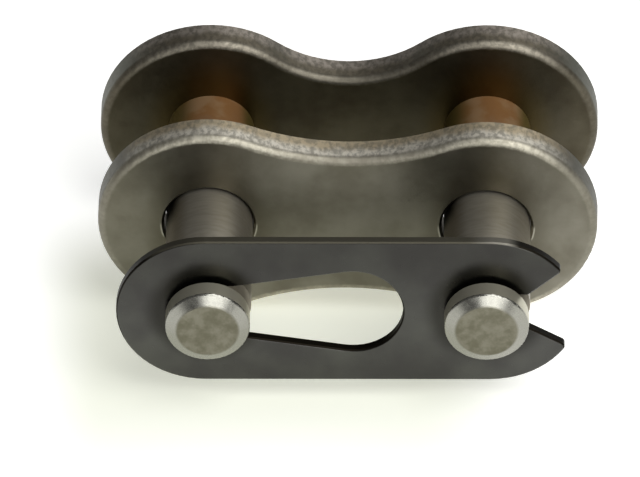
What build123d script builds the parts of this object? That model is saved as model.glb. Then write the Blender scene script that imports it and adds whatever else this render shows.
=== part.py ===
from build123d import *
from math import cos, radians, sin, tan
import os

# Connecting link of a half-inch pitch roller chain, in millimetres.
# X runs along the pitch, the pins point along -Y and Z is up. The origin is
# midway between the pin axes, on the inner face of the riveted rear plate.

# Chain
pitch = 12.7
half_pitch = pitch / 2
pin_diameter = 3.96
pin_radius = pin_diameter / 2

# Both plates
plate_height = 10.16
lobe_radius = plate_height / 2
plate_thickness = 1.45
plate_front_round = 0.33
plate_back_break = 0.1

# Rear plate, with the deeper waist
rear_waist_height = 5.9
rivet_countersink = 0.25

# Loose front plate, slipped part of the way along the pins and slightly askew
front_waist_height = 7.7
plate_gap = 5.53
front_plate_skew = 0.8
front_plate_shift = 0.02
slip_clearance = 0.07
hole_lead = 0.12

# Pins, as distances from the rear plate's inner face to the free end
shoulder_reach = 13.45
tip_reach = 14.58
groove_width = 0.8
neck_radius = 1.4
head_radius = 1.93
bevel_width = 0.53
bevel_height = 0.29
bevel_round = 0.12

# Riveted ends, behind the rear plate
rivet_height = 0.7
rivet_radius = 2.35
rivet_rim = 0.2
rivet_top_radius = 1.7
dimple_radius = 0.6
dimple_depth = 0.15

# Spring clip
clip_length = 21.06
clip_width = 8.1
clip_thickness = 0.5
clip_play = 0.03
clip_edge_break = 0.08
neck_fit = 0.02
seat_radius = neck_radius + neck_fit
keyhole_radius = 2.3
keyhole_centre_x = 0.25
keyhole_taper = 9.5
throat_half_width = 0.95
flare_start_x = 8.25
upper_flare_angle = 42.0
lower_flare_angle = 31.0
throat_round = 0.3
tip_round = 0.25


def plate_outline(waist_height):
    """Two round lobes about the pin axes, joined by concave arcs tangent to both."""
    half_waist = waist_height / 2
    waist_radius = (half_pitch**2 + half_waist**2 - lobe_radius**2) / (2 * (lobe_radius - half_waist))
    arc_centre_z = half_waist + waist_radius
    share = lobe_radius / (lobe_radius + waist_radius)
    tangent_x = half_pitch * (1 - share)
    tangent_z = arc_centre_z * share
    with BuildSketch() as outline:
        with BuildLine():
            ThreePointArc((-tangent_x, tangent_z), (0, half_waist), (tangent_x, tangent_z))
            ThreePointArc((tangent_x, tangent_z), (half_pitch + lobe_radius, 0), (tangent_x, -tangent_z))
            ThreePointArc((tangent_x, -tangent_z), (0, -half_waist), (-tangent_x, -tangent_z))
            ThreePointArc((-tangent_x, -tangent_z), (-half_pitch - lobe_radius, 0), (-tangent_x, tangent_z))
        make_face()
    return outline.sketch


def plate_blank(waist_height):
    """Stamped blank, its front face on y = 0, rounded by the die there and deburred behind."""
    with BuildPart() as blank:
        with BuildSketch(Plane.XZ):
            add(plate_outline(waist_height))
        extrude(amount=-plate_thickness)
        front_rim = blank.edges().group_by(Axis.Y)[0]
        fillet(front_rim, radius=plate_front_round)
        back_rim = blank.edges().group_by(Axis.Y)[-1]
        chamfer(back_rim, length=plate_back_break)
    return blank.part


def rear_plate():
    """Plate that the pins are pressed and riveted into, countersunk at its back."""
    with BuildPart() as plate:
        add(plate_blank(rear_waist_height))
        with Locations((-half_pitch, 0, 0), (half_pitch, 0, 0)):
            add(rivet_hole(), mode=Mode.SUBTRACT)
    return plate.part


def rivet_hole():
    """Straight hole of the pin's size, opened by a countersink at the back face."""
    with BuildPart() as hole:
        with BuildSketch(Plane.XY):
            with BuildLine():
                Polyline(
                    (0, 0),
                    (pin_radius, 0),
                    (pin_radius, plate_thickness - rivet_countersink),
                    (pin_radius + rivet_countersink, plate_thickness),
                    (0, plate_thickness),
                    close=True,
                )
            make_face()
        revolve(axis=Axis.Y)
    return hole.part


def front_plate():
    """Loose plate with slip-fit holes, resting askew and a little to one side on the pins."""
    with BuildPart() as plate:
        add(Pos(0, -plate_thickness / 2, 0) * plate_blank(front_waist_height))
        with Locations(Plane.XZ):
            with Locations((-half_pitch, 0), (half_pitch, 0)):
                Cylinder(pin_radius + slip_clearance, plate_thickness, mode=Mode.SUBTRACT)
        rims = plate.edges().filter_by(GeomType.CIRCLE)
        hole_rims = rims.filter_by(lambda rim: rim.radius < pin_diameter)
        chamfer(hole_rims, length=hole_lead)
    rest_y = -(plate_gap + plate_thickness / 2)
    return Pos(-front_plate_shift, rest_y, 0) * Rot(0, 0, -front_plate_skew) * plate.part


def pin():
    """Turned pin: riveted end, long journal, clip groove and bevelled head."""
    back = plate_thickness
    rivet_top = back + rivet_height
    groove_start = -(shoulder_reach - groove_width)
    bevel_start = -(tip_reach - bevel_height)
    with BuildPart() as body:
        with BuildSketch(Plane.XY) as profile:
            with BuildLine():
                Polyline(
                    (0, rivet_top - dimple_depth),
                    (dimple_radius, rivet_top),
                    (rivet_top_radius, rivet_top),
                    (rivet_radius, back + rivet_rim),
                    (rivet_radius, back),
                    (pin_radius + rivet_countersink, back),
                    (pin_radius, back - rivet_countersink),
                    (pin_radius, groove_start),
                    (neck_radius, groove_start),
                    (neck_radius, -shoulder_reach),
                    (head_radius, -shoulder_reach),
                    (head_radius, bevel_start),
                    (head_radius - bevel_width, -tip_reach),
                    (0, -tip_reach),
                    close=True,
                )
            make_face()
            head_corners = profile.vertices().sort_by(Axis.Y)[:3]
            bevel_corner = head_corners.sort_by(Axis.X)[-1]
            fillet(bevel_corner, radius=bevel_round)
        revolve(axis=Axis.Y)
    return body.part


def keyhole():
    """Slot round the closed-end neck, widening to a round that passes the pin's head."""
    tangent_x = keyhole_centre_x - keyhole_radius * sin(radians(keyhole_taper))
    tangent_z = keyhole_radius * cos(radians(keyhole_taper))
    taper_start_x = tangent_x - (tangent_z - seat_radius) / tan(radians(keyhole_taper))
    with BuildSketch() as slot:
        with BuildLine():
            ThreePointArc(
                (tangent_x, tangent_z),
                (keyhole_centre_x + keyhole_radius, 0),
                (tangent_x, -tangent_z),
            )
            Polyline((tangent_x, -tangent_z), (taper_start_x, -seat_radius), (-half_pitch, -seat_radius))
            ThreePointArc(
                (-half_pitch, -seat_radius),
                (-half_pitch - seat_radius, 0),
                (-half_pitch, seat_radius),
            )
            Polyline((-half_pitch, seat_radius), (taper_start_x, seat_radius), (tangent_x, tangent_z))
        make_face()
    return slot.sketch


def mouth():
    """Snap-in mouth: a seat round the open-end neck, a narrow throat and a flare."""
    flare_length = half_pitch
    flare_end_x = flare_start_x + flare_length
    upper_end_z = throat_half_width + flare_length * tan(radians(upper_flare_angle))
    lower_end_z = throat_half_width + flare_length * tan(radians(lower_flare_angle))
    with BuildSketch() as opening:
        with Locations((half_pitch, 0)):
            Circle(seat_radius)
        with BuildLine():
            Polyline(
                (half_pitch, throat_half_width),
                (flare_start_x, throat_half_width),
                (flare_end_x, upper_end_z),
                (flare_end_x, -lower_end_z),
                (flare_start_x, -throat_half_width),
                (half_pitch, -throat_half_width),
                close=True,
            )
        make_face()
    return opening.sketch


def spring_clip():
    """Flat spring steel clip, pressed over the two pin necks from the closed end."""
    back_reach = shoulder_reach - groove_width + clip_play
    with BuildPart() as clip:
        with BuildSketch(Plane.XZ.offset(back_reach)) as blank:
            SlotOverall(clip_length, clip_width)
            add(mouth(), mode=Mode.SUBTRACT)
            throat_corners = blank.vertices().sort_by(Axis.X)[-6:-2]
            fillet(throat_corners, radius=throat_round)
            tip_corners = blank.vertices().sort_by(Axis.X)[-2:]
            fillet(tip_corners, radius=tip_round)
            add(keyhole(), mode=Mode.SUBTRACT)
        extrude(amount=clip_thickness)
        faces = clip.faces().filter_by(Axis.Y)
        chamfer(faces.edges(), length=clip_edge_break)
    return clip.part


def main():
    os.makedirs("parts", exist_ok=True)
    nodes = {
        "rear_plate": rear_plate(),
        "pin_closed_end": Pos(-half_pitch, 0, 0) * pin(),
        "pin_open_end": Pos(half_pitch, 0, 0) * pin(),
        "front_plate": front_plate(),
        "spring_clip": spring_clip(),
    }
    for name, solid in nodes.items():
        export_step(solid, f"parts/{name}.step")


main()
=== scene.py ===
import bmesh
import bpy
from math import cos, pi, radians, sin
from mathutils import Matrix, Vector


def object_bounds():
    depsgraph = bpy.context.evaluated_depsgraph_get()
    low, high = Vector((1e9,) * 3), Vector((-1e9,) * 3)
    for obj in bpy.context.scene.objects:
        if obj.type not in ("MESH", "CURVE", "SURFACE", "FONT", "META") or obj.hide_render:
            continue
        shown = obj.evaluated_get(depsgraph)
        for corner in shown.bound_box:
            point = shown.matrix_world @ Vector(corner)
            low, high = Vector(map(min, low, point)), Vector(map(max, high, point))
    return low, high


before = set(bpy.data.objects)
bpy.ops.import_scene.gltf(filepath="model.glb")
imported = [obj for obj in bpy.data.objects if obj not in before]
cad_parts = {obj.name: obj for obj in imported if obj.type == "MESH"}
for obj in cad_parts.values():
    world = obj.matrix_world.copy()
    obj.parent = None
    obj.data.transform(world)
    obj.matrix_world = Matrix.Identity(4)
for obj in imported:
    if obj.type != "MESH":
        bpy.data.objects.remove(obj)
cad_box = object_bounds()


# Rear plate. Stamped from medium carbon steel and hardened, which left its faces a dark
# brown-grey. Both pins are pressed and riveted into it. Its sheared edge and its front
# rim have been rubbed lighter, most on the lobes, and it is darker and browner round the pins.

# Sizes of the link are in millimetres, and MM makes them the scene's metres.
MM = 0.001
HALF_PITCH = 6.35
LOBE_RADIUS = 5.08
PLATE_THICKNESS = 1.45
PLATE_FRONT_ROUND = 0.33
RIM_WANDER = 0.12
REAR_WAIST_HEIGHT = 5.9
REAR_PLATE_PLACE = (0, PLATE_THICKNESS / 2, 0)
PIN_HALO_STARTS = 3.4
PIN_HALO_FULL = 1.9
FACE_ROUGHNESS = 0.38
EDGE_ROUGHNESS = 0.5
REAR_RIM_ROUGHNESS = 0.5
REAR_TONES = {
    "dark face": (0.062, 0.052, 0.034, 1),
    "light face": (0.105, 0.094, 0.066, 1),
    "back of edge": (0.48, 0.43, 0.37, 1),
    "front of edge": (0.24, 0.21, 0.155, 1),
    "painted shade at ends": (0.08, 0.08, 0.06, 1),
    "dull rim": (0.12, 0.11, 0.085, 1),
    "rubbed rim": (0.34, 0.31, 0.25, 1),
}
PIN_HALO_TONE = (0.096, 0.07, 0.025, 1)


def new_material(name):
    """A node material with its own shader, and a helper that adds nodes to it."""
    material = bpy.data.materials.new(name)
    material.use_nodes = True
    tree = material.node_tree
    shader = tree.nodes["Principled BSDF"]

    def node(kind, settings=None, **inputs):
        """Add a node. Inputs go by name, or by number after an underscore."""
        made = tree.nodes.new(kind)
        for setting, value in (settings or {}).items():
            setattr(made, setting, value)
        for socket, value in inputs.items():
            target = made.inputs[int(socket[1:])] if socket[0] == "_" else made.inputs[socket]
            if isinstance(value, bpy.types.NodeSocket):
                tree.links.new(value, target)
            else:
                target.default_value = value
        return made

    return material, tree, shader, node


def maths(node, operation, *values):
    """Result of one Math node."""
    inputs = {f"_{place}": value for place, value in enumerate(values)}
    return node("ShaderNodeMath", {"operation": operation}, **inputs).outputs[0]


def millimetres(node, place=(0, 0, 0), turn=0.0):
    """Object coordinates in millimetres from a piece's own centre and turned with it, whole and split."""
    source = node("ShaderNodeTexCoord").outputs["Object"]
    mapping = node("ShaderNodeMapping", {"vector_type": "TEXTURE"}, Vector=source)
    mapping.inputs["Location"].default_value = [value * MM for value in place]
    mapping.inputs["Rotation"].default_value = (0, 0, turn)
    mapping.inputs["Scale"].default_value = (MM, MM, MM)
    at = mapping.outputs[0]
    return at, node("ShaderNodeSeparateXYZ", Vector=at).outputs


def ramp(node, value, low, high, start=0.0, end=1.0):
    """Smooth step that runs from start to end while the value goes from low to high."""
    made = node("ShaderNodeMapRange", {"interpolation_type": "SMOOTHSTEP"}, Value=value)
    for socket, number in zip(("From Min", "From Max", "To Min", "To Max"), (low, high, start, end)):
        made.inputs[socket].default_value = number
    return made.outputs["Result"]


def noise(node, at, scale, stretch=(1, 1, 1), detail=3.0, roughness=0.5):
    """Noise with `scale` cells to the millimetre, stretched along the three axes."""
    mapping = node("ShaderNodeMapping", {"vector_type": "POINT"}, Vector=at)
    mapping.inputs["Scale"].default_value = stretch
    made = node("ShaderNodeTexNoise", Vector=mapping.outputs[0])
    made.inputs["Scale"].default_value = scale
    made.inputs["Detail"].default_value = detail
    made.inputs["Roughness"].default_value = roughness
    return made.outputs["Fac"]


def wander(node, value, pattern, amount):
    """Value moved up and down by a noise pattern, by half the amount at most."""
    return maths(node, "ADD", value, maths(node, "MULTIPLY_ADD", pattern, amount, -amount / 2))


def mix(node, factor, first, second):
    """Colour between two colours."""
    return node("ShaderNodeMix", {"data_type": "RGBA"}, _0=factor, _6=first, _7=second).outputs[2]


def blotch(node, pattern, dark, light):
    """Colour that goes from dark to light with a noise pattern."""
    return mix(node, ramp(node, pattern, 0.3, 0.7), dark, light)


def reach(node, x, z):
    """Length of the vector (x, z)."""
    flat = node("ShaderNodeCombineXYZ", X=x, Y=0.0, Z=z).outputs[0]
    return node("ShaderNodeVectorMath", {"operation": "LENGTH"}, _0=flat).outputs["Value"]


def beyond_pin(node, along):
    """Distance along the pitch from the nearer pin's axis, negative between the pins."""
    return maths(node, "SUBTRACT", maths(node, "ABSOLUTE", along["X"]), HALF_PITCH)


def bumps(tree, shader, node, height, strength, depth):
    """Fine relief, `depth` millimetres deep."""
    bump = node("ShaderNodeBump", Height=height)
    bump.inputs["Strength"].default_value = strength
    bump.inputs["Distance"].default_value = depth * MM
    tree.links.new(bump.outputs[0], shader.inputs["Normal"])


def plate_outline(node, across, along_z, waist_height):
    """Distance in from the outline of two lobes and a waist, and how squarely it faces up or down."""
    half_waist = waist_height / 2
    waist_radius = (HALF_PITCH**2 + half_waist**2 - LOBE_RADIUS**2) / (2 * (LOBE_RADIUS - half_waist))
    arc_centre_z = half_waist + waist_radius
    tangent_x = HALF_PITCH * waist_radius / (LOBE_RADIUS + waist_radius)
    side = maths(node, "ABSOLUTE", across)
    height = maths(node, "ABSOLUTE", along_z)
    from_lobe = reach(node, maths(node, "SUBTRACT", side, HALF_PITCH), height)
    from_arc = reach(node, side, maths(node, "SUBTRACT", height, arc_centre_z))
    lobe = maths(node, "SUBTRACT", LOBE_RADIUS, from_lobe)
    waist = maths(node, "SUBTRACT", from_arc, waist_radius)
    at_waist = maths(node, "LESS_THAN", side, tangent_x)
    distance = node("ShaderNodeMix", {"data_type": "FLOAT"}, _0=at_waist, _2=lobe, _3=waist).outputs[0]
    lobe_upright = maths(node, "DIVIDE", height, from_lobe)
    waist_upright = maths(node, "DIVIDE", maths(node, "SUBTRACT", arc_centre_z, height), from_arc)
    upright = node("ShaderNodeMix", {"data_type": "FLOAT"}, _0=at_waist, _2=lobe_upright, _3=waist_upright)
    return distance, upright.outputs[0]


def plate_steel(name, tones, waist_height, place, turn, rim_roughness):
    """Hardened plate: blotched faces, a sheared edge in two zones and a rubbed front rim, with painted
    shade where the outline faces sideways.
    """
    material, tree, shader, node = new_material(name)
    at, along = millimetres(node, place, turn)
    distance, upright = plate_outline(node, along["X"], along["Z"], waist_height)
    lit_where_upright = ramp(node, upright, 0.58, 0.98)
    grain = noise(node, at, 5.0, detail=4.0, roughness=0.6)
    streaks = noise(node, at, 1.1, stretch=(1, 0.25, 1), detail=4.0, roughness=0.6)
    specks = noise(node, at, 4.2, stretch=(1, 0.7, 1), roughness=0.6)
    scuffs = ramp(node, specks, 0.35, 0.62, 0.4, 1.0)

    # The faces are blotched, with lighter flecks
    blotches = noise(node, at, 0.4, detail=4.0)
    flecks = noise(node, at, 1.6, detail=4.0, roughness=0.6)
    face = blotch(node, blotches, tones["dark face"], tones["light face"])
    face = mix(node, maths(node, "MULTIPLY", flecks, 0.25), face, tones["light face"])

    # The two zones of the sheared edge meet a little behind its middle
    sheared_to = wander(node, along["Y"], streaks, 0.8)
    edge = mix(node, ramp(node, sheared_to, -0.2, 0.3), tones["front of edge"], tones["back of edge"])
    edge = mix(node, scuffs, tones["dull rim"], edge)
    # Painted shade: the edge goes dark where the outline faces sideways, at the plate's ends
    edge = mix(node, lit_where_upright, tones["painted shade at ends"], edge)

    # The rim is rubbed less at the waist
    lobes = ramp(node, maths(node, "ABSOLUTE", along["X"]), 1.0, 4.5, 0.28, 0.85)
    rim = mix(node, wander(node, lobes, streaks, 1.2), tones["dull rim"], tones["rubbed rim"])
    rim = mix(node, scuffs, tones["dull rim"], rim)
    # Painted shade: the rim fades into the face where the outline faces sideways
    rim = mix(node, maths(node, "MULTIPLY_ADD", lit_where_upright, 0.8, 0.2), face, rim)

    # The rim is about as wide as the die's round, and the edge takes over near the round's back
    inwards = wander(node, distance, grain, RIM_WANDER)
    on_rim = ramp(node, inwards, PLATE_FRONT_ROUND * 1.25, PLATE_FRONT_ROUND * 0.8)
    backwards = wander(node, along["Y"], grain, RIM_WANDER)
    edge_starts = PLATE_FRONT_ROUND * 0.85 - PLATE_THICKNESS / 2
    on_edge = ramp(node, backwards, edge_starts - 0.1, edge_starts + 0.1)
    colour = mix(node, on_rim, face, mix(node, on_edge, rim, edge))

    shader.inputs["Metallic"].default_value = 1.0
    front_rim = maths(node, "MULTIPLY", on_rim, maths(node, "SUBTRACT", 1.0, on_edge))
    rough = ramp(node, on_rim, 0.0, 1.0, FACE_ROUGHNESS, EDGE_ROUGHNESS)
    rough = maths(node, "MULTIPLY_ADD", front_rim, rim_roughness - EDGE_ROUGHNESS, rough)
    tree.links.new(wander(node, rough, grain, 0.2), shader.inputs["Roughness"])
    bumps(tree, shader, node, grain, 0.25, 0.02)
    return material, tree, shader, node, along, colour


def rear_plate_steel():
    """Plate steel, darker and browner round both pins and above them."""
    material, tree, shader, node, along, colour = plate_steel(
        "rear_plate_steel",
        REAR_TONES,
        REAR_WAIST_HEIGHT,
        place=REAR_PLATE_PLACE,
        turn=0.0,
        rim_roughness=REAR_RIM_ROUGHNESS,
    )
    # The plate turns darker and browner round both pins
    from_pin = reach(node, beyond_pin(node, along), maths(node, "MULTIPLY", along["Z"], 0.75))
    haloed = ramp(node, from_pin, PIN_HALO_STARTS, PIN_HALO_FULL, 0.0, 0.85)
    tree.links.new(mix(node, haloed, colour, PIN_HALO_TONE), shader.inputs["Base Color"])
    return material


def dress(name, material):
    """Give one piece its material."""
    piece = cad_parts[name]
    piece.data.materials.clear()
    piece.data.materials.append(material)


dress("rear_plate", rear_plate_steel())


# Pins. Turned from hard alloy steel, ground on the journal, grooved for the clip and
# bevelled at the free end, then riveted over behind the rear plate. The bevel has
# stayed bright, the sawn end is dull, and the roots are brown with burnt oil.

SHOULDER_Y = -13.45
TIP_Y = -14.58
TIP_DEPTH = 0.35
HEAD_RADIUS = 1.93
BEVEL_WIDTH = 0.53
GAP_SHADOW_STARTS_Y = -8.4
GAP_SHADOW_FULL_Y = -7.2
BROWN_STARTS_Y = -5.0
BROWN_FULL_Y = -1.5
BROWN_ENDS_Y = 0.1
JOURNAL_ROUGHNESS = 0.41
BEVEL_ROUGHNESS = 0.27
END_ROUGHNESS = 0.4
PIN_DARK = (0.37, 0.345, 0.285, 1)
PIN_LIGHT = (0.43, 0.4, 0.34, 1)
FLANK_SHADE = (0.11, 0.085, 0.05, 1)
HOLE_GAP_SHADOW = (0.012, 0.01, 0.006, 1)
HEAD_STEEL = (0.56, 0.535, 0.43, 1)
END_DARK = (0.135, 0.128, 0.09, 1)
END_LIGHT = (0.205, 0.195, 0.15, 1)
BEVEL_STEEL = (0.31, 0.305, 0.27, 1)
ROOT_BROWN = (0.34, 0.17, 0.065, 1)
ROOT_TAN = (0.4, 0.245, 0.125, 1)
ROOT_FLANK_SHADE = (0.13, 0.095, 0.025, 1)


def pin_steel():
    """Bright ground steel with a dull end, a bright bevel and brown roots."""
    material, tree, shader, node = new_material("pin_steel")
    at, along = millimetres(node)
    grain = noise(node, at, 5.0, detail=4.0)
    turned = noise(node, at, 1.0, stretch=(1.2, 6.0, 1.2))
    flecks = noise(node, at, 1.9, roughness=0.6)
    blotches = noise(node, at, 0.8)
    aside = beyond_pin(node, along)
    across = maths(node, "MULTIPLY", aside, maths(node, "SIGN", along["X"]))
    from_axis = reach(node, aside, along["Z"])

    # Painted shade darkens the journal down both sides, and a painted shadow darkens its left flank just
    # in front of the loose plate
    journal = blotch(node, turned, PIN_DARK, PIN_LIGHT)
    left_flank = ramp(node, across, -0.8, -1.6)
    right_flank = ramp(node, across, 1.0, 1.7)
    flank_shade = maths(node, "MULTIPLY_ADD", right_flank, 0.35, maths(node, "MULTIPLY", left_flank, 0.7))
    journal = mix(node, flank_shade, journal, FLANK_SHADE)
    # Painted shadow on the left flank just in front of the loose plate's hole
    gap_shadow_along = ramp(node, along["Y"], GAP_SHADOW_STARTS_Y, GAP_SHADOW_FULL_Y)
    gap_shadow = maths(node, "MULTIPLY", gap_shadow_along, ramp(node, across, -1.3, -1.75))
    journal = mix(node, gap_shadow, journal, HOLE_GAP_SHADOW)

    # The head lies beyond the groove and ends in the bevel and the sawn flat
    body = mix(node, maths(node, "LESS_THAN", along["Y"], SHOULDER_Y), journal, HEAD_STEEL)
    on_tip = maths(node, "LESS_THAN", along["Y"], TIP_Y + TIP_DEPTH)
    flat_radius = HEAD_RADIUS - BEVEL_WIDTH
    on_flat = ramp(node, from_axis, flat_radius + 0.12, flat_radius - 0.05)
    tip = mix(node, on_flat, BEVEL_STEEL, blotch(node, flecks, END_DARK, END_LIGHT))
    colour = mix(node, on_tip, body, tip)

    # The root is brown as far as the rear plate's hole, with painted shade making it olive at both sides
    at_root = ramp(node, wander(node, along["Y"], blotches, 4.0), BROWN_STARTS_Y, BROWN_FULL_Y)
    behind = maths(node, "GREATER_THAN", along["Y"], BROWN_ENDS_Y)
    browned = maths(node, "MAXIMUM", maths(node, "SUBTRACT", at_root, behind), 0.0)
    # Painted shade down both sides of the root
    flanks = maths(node, "MAXIMUM", ramp(node, across, -0.5, -1.6), ramp(node, across, 1.2, 1.8))
    root = mix(node, ramp(node, blotches, 0.4, 0.62), ROOT_BROWN, ROOT_TAN)
    root = mix(node, flanks, root, ROOT_FLANK_SHADE)
    tree.links.new(mix(node, browned, colour, root), shader.inputs["Base Color"])

    bare = ramp(node, on_tip, 0.0, 1.0, 0.75, 1.0)
    metal = maths(node, "SUBTRACT", bare, maths(node, "MULTIPLY", browned, 0.4))
    tree.links.new(metal, shader.inputs["Metallic"])
    dull = maths(node, "MULTIPLY", on_tip, on_flat)
    rough = ramp(node, on_tip, 0.0, 1.0, JOURNAL_ROUGHNESS, BEVEL_ROUGHNESS)
    rough = maths(node, "ADD", rough, ramp(node, dull, 0.0, 1.0, 0.0, END_ROUGHNESS - BEVEL_ROUGHNESS))
    tree.links.new(wander(node, rough, grain, 0.16), shader.inputs["Roughness"])
    bumps(tree, shader, node, turned, 0.05, 0.01)
    return material


pin_material = pin_steel()
for pin in ("pin_closed_end", "pin_open_end"):
    dress(pin, pin_material)


# Front plate. The loose plate, slipped over the pins by hand. It is stamped from the
# same steel as the rear one, but its faces and its edge have been rubbed much lighter.

FRONT_WAIST_HEIGHT = 7.7
PLATE_GAP = 5.53
FRONT_PLATE_SHIFT = 0.02
FRONT_PLATE_SKEW = radians(-0.8)
FRONT_PLATE_PLACE = (-FRONT_PLATE_SHIFT, -PLATE_GAP - PLATE_THICKNESS / 2, 0)
FRONT_PIN_SHADE_STARTS = 3.3
FRONT_PIN_SHADE_FULL = 2.2
HOLE_RIM_RADIUS = 2.2
FRONT_RIM_ROUGHNESS = 0.52
FRONT_TONES = {
    "dark face": (0.145, 0.134, 0.102, 1),
    "light face": (0.222, 0.21, 0.17, 1),
    "back of edge": (0.66, 0.56, 0.39, 1),
    "front of edge": (0.95, 0.9, 0.78, 1),
    "painted shade at ends": (0.09, 0.086, 0.068, 1),
    "dull rim": (0.26, 0.24, 0.19, 1),
    "rubbed rim": (0.55, 0.52, 0.425, 1),
}
FRONT_PIN_SHADE = (0.095, 0.085, 0.058, 1)
HOLE_GLINT = (0.4, 0.385, 0.32, 1)


def front_plate_steel():
    """Plate steel with painted shade round the pins, and a painted glint at both sides of each hole."""
    material, tree, shader, node, along, colour = plate_steel(
        "front_plate_steel",
        FRONT_TONES,
        FRONT_WAIST_HEIGHT,
        place=FRONT_PLATE_PLACE,
        turn=FRONT_PLATE_SKEW,
        rim_roughness=FRONT_RIM_ROUGHNESS,
    )
    aside = beyond_pin(node, along)
    # Painted shade round the pins
    from_pin = reach(node, aside, maths(node, "MULTIPLY", along["Z"], 0.8))
    pin_shaded = ramp(node, from_pin, FRONT_PIN_SHADE_STARTS, FRONT_PIN_SHADE_FULL, 0.0, 0.55)
    colour = mix(node, pin_shaded, colour, FRONT_PIN_SHADE)
    # Painted glint at both sides of each hole's rim
    above = ramp(node, along["Z"], -0.85, -0.6)
    below = ramp(node, along["Z"], 0.1, -0.15)
    beside = maths(node, "MULTIPLY", above, below)
    at_hole = ramp(node, reach(node, aside, along["Z"]), HOLE_RIM_RADIUS + 0.06, HOLE_RIM_RADIUS)
    painted_glint = maths(node, "MULTIPLY", beside, at_hole)
    tree.links.new(mix(node, painted_glint, colour, HOLE_GLINT), shader.inputs["Base Color"])
    return material


dress("front_plate", front_plate_steel())


# Spring clip. Blanked from thin spring steel and tempered to a dark blue-grey with a
# faint purple cast, then pressed into the pins' grooves from the closed end.

CLIP_BACK_Y = -12.68
CLIP_THICKNESS = 0.5
CLIP_MID_Y = CLIP_BACK_Y - CLIP_THICKNESS / 2
CLIP_SHADE_STARTS = 3.1
CLIP_SHADE_FULL = 2.2
CLIP_ROUGHNESS = 0.3
CLIP_EDGE_ROUGHNESS = 0.5
CLIP_DARK = (0.062, 0.06, 0.058, 1)
CLIP_LIGHT = (0.088, 0.088, 0.08, 1)
CLIP_DARK_TONE = (0.017, 0.016, 0.012, 1)
CLIP_EDGE = (0.095, 0.088, 0.066, 1)
CLIP_EDGE_LIGHT = (0.2, 0.19, 0.16, 1)
CLIP_EDGE_DARK = (0.012, 0.01, 0.007, 1)


def clip_steel():
    """Tempered spring steel, darker towards its top, with painted shade and a painted reflection of the
    heads round the pins, and duller sheared edges.
    """
    material, tree, shader, node = new_material("clip_steel")
    at, along = millimetres(node)
    grain = noise(node, at, 5.0, detail=4.0, roughness=0.6)
    face = blotch(node, noise(node, at, 0.35), CLIP_DARK, CLIP_LIGHT)
    # Darker towards the top
    face = mix(node, ramp(node, along["Z"], -1.5, 3.5, 0.0, 0.4), face, CLIP_DARK_TONE)
    # Painted shade and painted reflection of the heads round the pins
    from_pin = reach(node, beyond_pin(node, along), along["Z"])
    face = mix(node, ramp(node, from_pin, CLIP_SHADE_STARTS, CLIP_SHADE_FULL, 0.0, 0.6), face, CLIP_DARK_TONE)

    # The edge is lighter by the open-end pin, and darker at the tips and wherever it lies near mid-height
    edge = mix(node, ramp(node, along["X"], 5.4, 6.6), CLIP_EDGE, CLIP_EDGE_LIGHT)
    edge = mix(node, ramp(node, along["X"], 7.2, 7.9), edge, CLIP_EDGE_DARK)
    edge = mix(node, ramp(node, maths(node, "ABSOLUTE", along["Z"]), 3.6, 2.9), edge, CLIP_EDGE_DARK)
    from_middle = maths(node, "ABSOLUTE", maths(node, "SUBTRACT", along["Y"], CLIP_MID_Y))
    on_edge = ramp(node, from_middle, CLIP_THICKNESS / 2 - 0.005, CLIP_THICKNESS / 2 - 0.03)
    tree.links.new(mix(node, on_edge, face, edge), shader.inputs["Base Color"])

    shader.inputs["Metallic"].default_value = 1.0
    rough = ramp(node, on_edge, 0.0, 1.0, CLIP_ROUGHNESS, CLIP_EDGE_ROUGHNESS)
    tree.links.new(wander(node, rough, grain, 0.16), shader.inputs["Roughness"])
    bumps(tree, shader, node, grain, 0.2, 0.01)
    return material


dress("spring_clip", clip_steel())


# Table. A wide sheet of white paper under the link, lit to a clean white where it is
# seen or mirrored, while it keeps the link's soft shadow. A faint grey-green shade is
# painted on it in front of the link and to its left.

# The sheet's size is in metres. The painted shade patch fades in from the first to the second
# of each pair, in millimetres.
SHEET_SIZE = 4.0
SHEET_GLOW = 0.62
SHADE_PATCH_LEFT = (-16, -11)
SHADE_PATCH_RIGHT = (10, 3)
SHADE_PATCH_FRONT = (-22, -13)
SHADE_PATCH_BACK = (1.5, -5.5)
SHEET_WHITE = (0.95, 0.96, 0.93, 1)
SHEET_PAINTED_SHADE = (0.72, 0.735, 0.65, 1)
GLOW_WHITE = (1, 1, 0.99, 1)
GLOW_PAINTED_SHADE = (0.76, 0.775, 0.68, 1)


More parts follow.
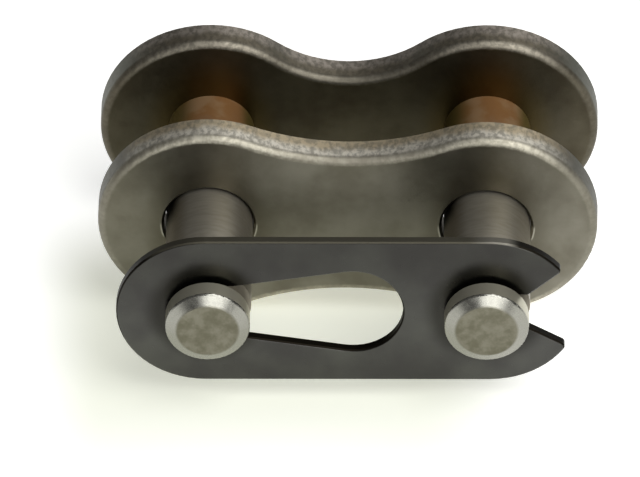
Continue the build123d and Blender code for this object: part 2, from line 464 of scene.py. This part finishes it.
def white_paper():
    """Matt paper with a painted grey-green shade patch, and a plain glow for the rays that see it."""
    material, tree, shader, node = new_material("white_paper")
    _, along = millimetres(node)
    # Painted shade patch in front of the link and to its left
    left = ramp(node, along["X"], *SHADE_PATCH_LEFT)
    right = ramp(node, along["X"], *SHADE_PATCH_RIGHT)
    front = ramp(node, along["Y"], *SHADE_PATCH_FRONT)
    back = ramp(node, along["Y"], *SHADE_PATCH_BACK)
    across = maths(node, "MULTIPLY", left, right)
    painted_shade = maths(node, "MULTIPLY", across, maths(node, "MULTIPLY", front, back))
    shade = node("ShaderNodeBsdfDiffuse", Color=mix(node, painted_shade, SHEET_WHITE, SHEET_PAINTED_SHADE))
    path = node("ShaderNodeLightPath").outputs
    seen = maths(node, "MAXIMUM", path["Is Camera Ray"], path["Is Glossy Ray"])
    seen = maths(node, "MAXIMUM", seen, path["Is Transmission Ray"])
    glow = node("ShaderNodeEmission", Strength=maths(node, "MULTIPLY", seen, SHEET_GLOW))
    tree.links.new(mix(node, painted_shade, GLOW_WHITE, GLOW_PAINTED_SHADE), glow.inputs["Color"])
    lit = node("ShaderNodeAddShader", _0=shade.outputs[0], _1=glow.outputs[0])
    tree.links.new(lit.outputs[0], tree.nodes["Material Output"].inputs["Surface"])
    tree.nodes.remove(shader)
    return material


def table_sheet():
    """Level sheet that the link's plates stand on."""
    sheet = bmesh.new()
    bmesh.ops.create_grid(sheet, x_segments=1, y_segments=1, size=SHEET_SIZE / 2)
    bmesh.ops.translate(sheet, verts=sheet.verts, vec=(0, 0, cad_box[0].z))
    mesh = bpy.data.meshes.new("table_sheet")
    sheet.to_mesh(mesh)
    sheet.free()
    mesh.materials.append(white_paper())
    made = bpy.data.objects.new("table_sheet", mesh)
    bpy.context.scene.collection.objects.link(made)
    return made


table_sheet()


# Light. A pale room and three softboxes. The low one makes the highlights on the heads'
# bevels, the high one those on the plates' rims, and the weak one behind the link
# and to its right lights the plates' edges.

ROOM_STRENGTH = 0.12
SOFTBOX_DISTANCE = 0.4
LINK_CENTRE = Vector((0, -6 * MM, 0))

room = bpy.data.worlds.new("pale_room")
room.use_nodes = True
room.node_tree.nodes["Background"].inputs["Color"].default_value = (1, 1, 1, 1)
room.node_tree.nodes["Background"].inputs["Strength"].default_value = ROOM_STRENGTH
bpy.context.scene.world = room


def direction(azimuth, elevation):
    """Unit vector from the link, from angles in degrees. Azimuth 0 is in front and 90 to the right."""
    azimuth, elevation = radians(azimuth), radians(elevation)
    across = cos(elevation)
    return Vector((sin(azimuth) * across, -cos(azimuth) * across, sin(elevation)))


def softbox(name, azimuth, elevation, width, height, radiance):
    """Flat rectangular lamp that faces the link. Its width and height are in metres."""
    lamp = bpy.data.lights.new(name, "AREA")
    lamp.shape = "RECTANGLE"
    lamp.size = width
    lamp.size_y = height
    lamp.energy = radiance * pi * width * height
    made = bpy.data.objects.new(name, lamp)
    bpy.context.scene.collection.objects.link(made)
    away = direction(azimuth, elevation)
    made.location = LINK_CENTRE + away * SOFTBOX_DISTANCE
    made.rotation_euler = away.to_track_quat("Z", "Y").to_euler()


softbox("low_softbox", azimuth=12, elevation=19, width=0.27, height=0.15, radiance=3.6)
softbox("high_softbox", azimuth=42, elevation=54, width=0.24, height=0.4, radiance=3.5)
softbox("back_softbox", azimuth=153, elevation=33, width=0.34, height=0.3, radiance=0.65)


# Camera. A long lens in front of the link and above it. It aims beside the link, so
# that LINK_CENTRE falls on its own pixel of the frame.

AZIMUTH = 0.587
ELEVATION = 39.235
ROLL = -0.297
CAMERA_DISTANCE = 1.0
FOCAL_PIXELS = 21840
CENTRE_PIXEL = Vector((348.3, 211.946))
FRAME_PIXELS = Vector((640, 477))
SENSOR_WIDTH = 36

away = direction(AZIMUTH, ELEVATION)
right = Vector((cos(radians(AZIMUTH)), sin(radians(AZIMUTH)), 0))
up = away.cross(right)
rolled_right = right * cos(radians(ROLL)) + up * sin(radians(ROLL))
rolled_up = up * cos(radians(ROLL)) - right * sin(radians(ROLL))
eye = LINK_CENTRE + away * CAMERA_DISTANCE
off_centre = (CENTRE_PIXEL - FRAME_PIXELS / 2) * CAMERA_DISTANCE / FOCAL_PIXELS
aim = LINK_CENTRE - rolled_right * off_centre.x + rolled_up * off_centre.y
back = (eye - aim).normalized()
level = rolled_up.cross(back).normalized()
turn = Matrix((level, back.cross(level), back)).transposed().to_4x4()

lens = bpy.data.cameras.new("long_lens")
lens.sensor_width = SENSOR_WIDTH
lens.lens = FOCAL_PIXELS / FRAME_PIXELS.x * SENSOR_WIDTH
lens.clip_start = 0.01
camera = bpy.data.objects.new("camera", lens)
camera.matrix_world = Matrix.Translation(eye) @ turn
bpy.context.scene.collection.objects.link(camera)
bpy.context.scene.camera = camera
bpy.context.scene.view_settings.view_transform = "Standard"
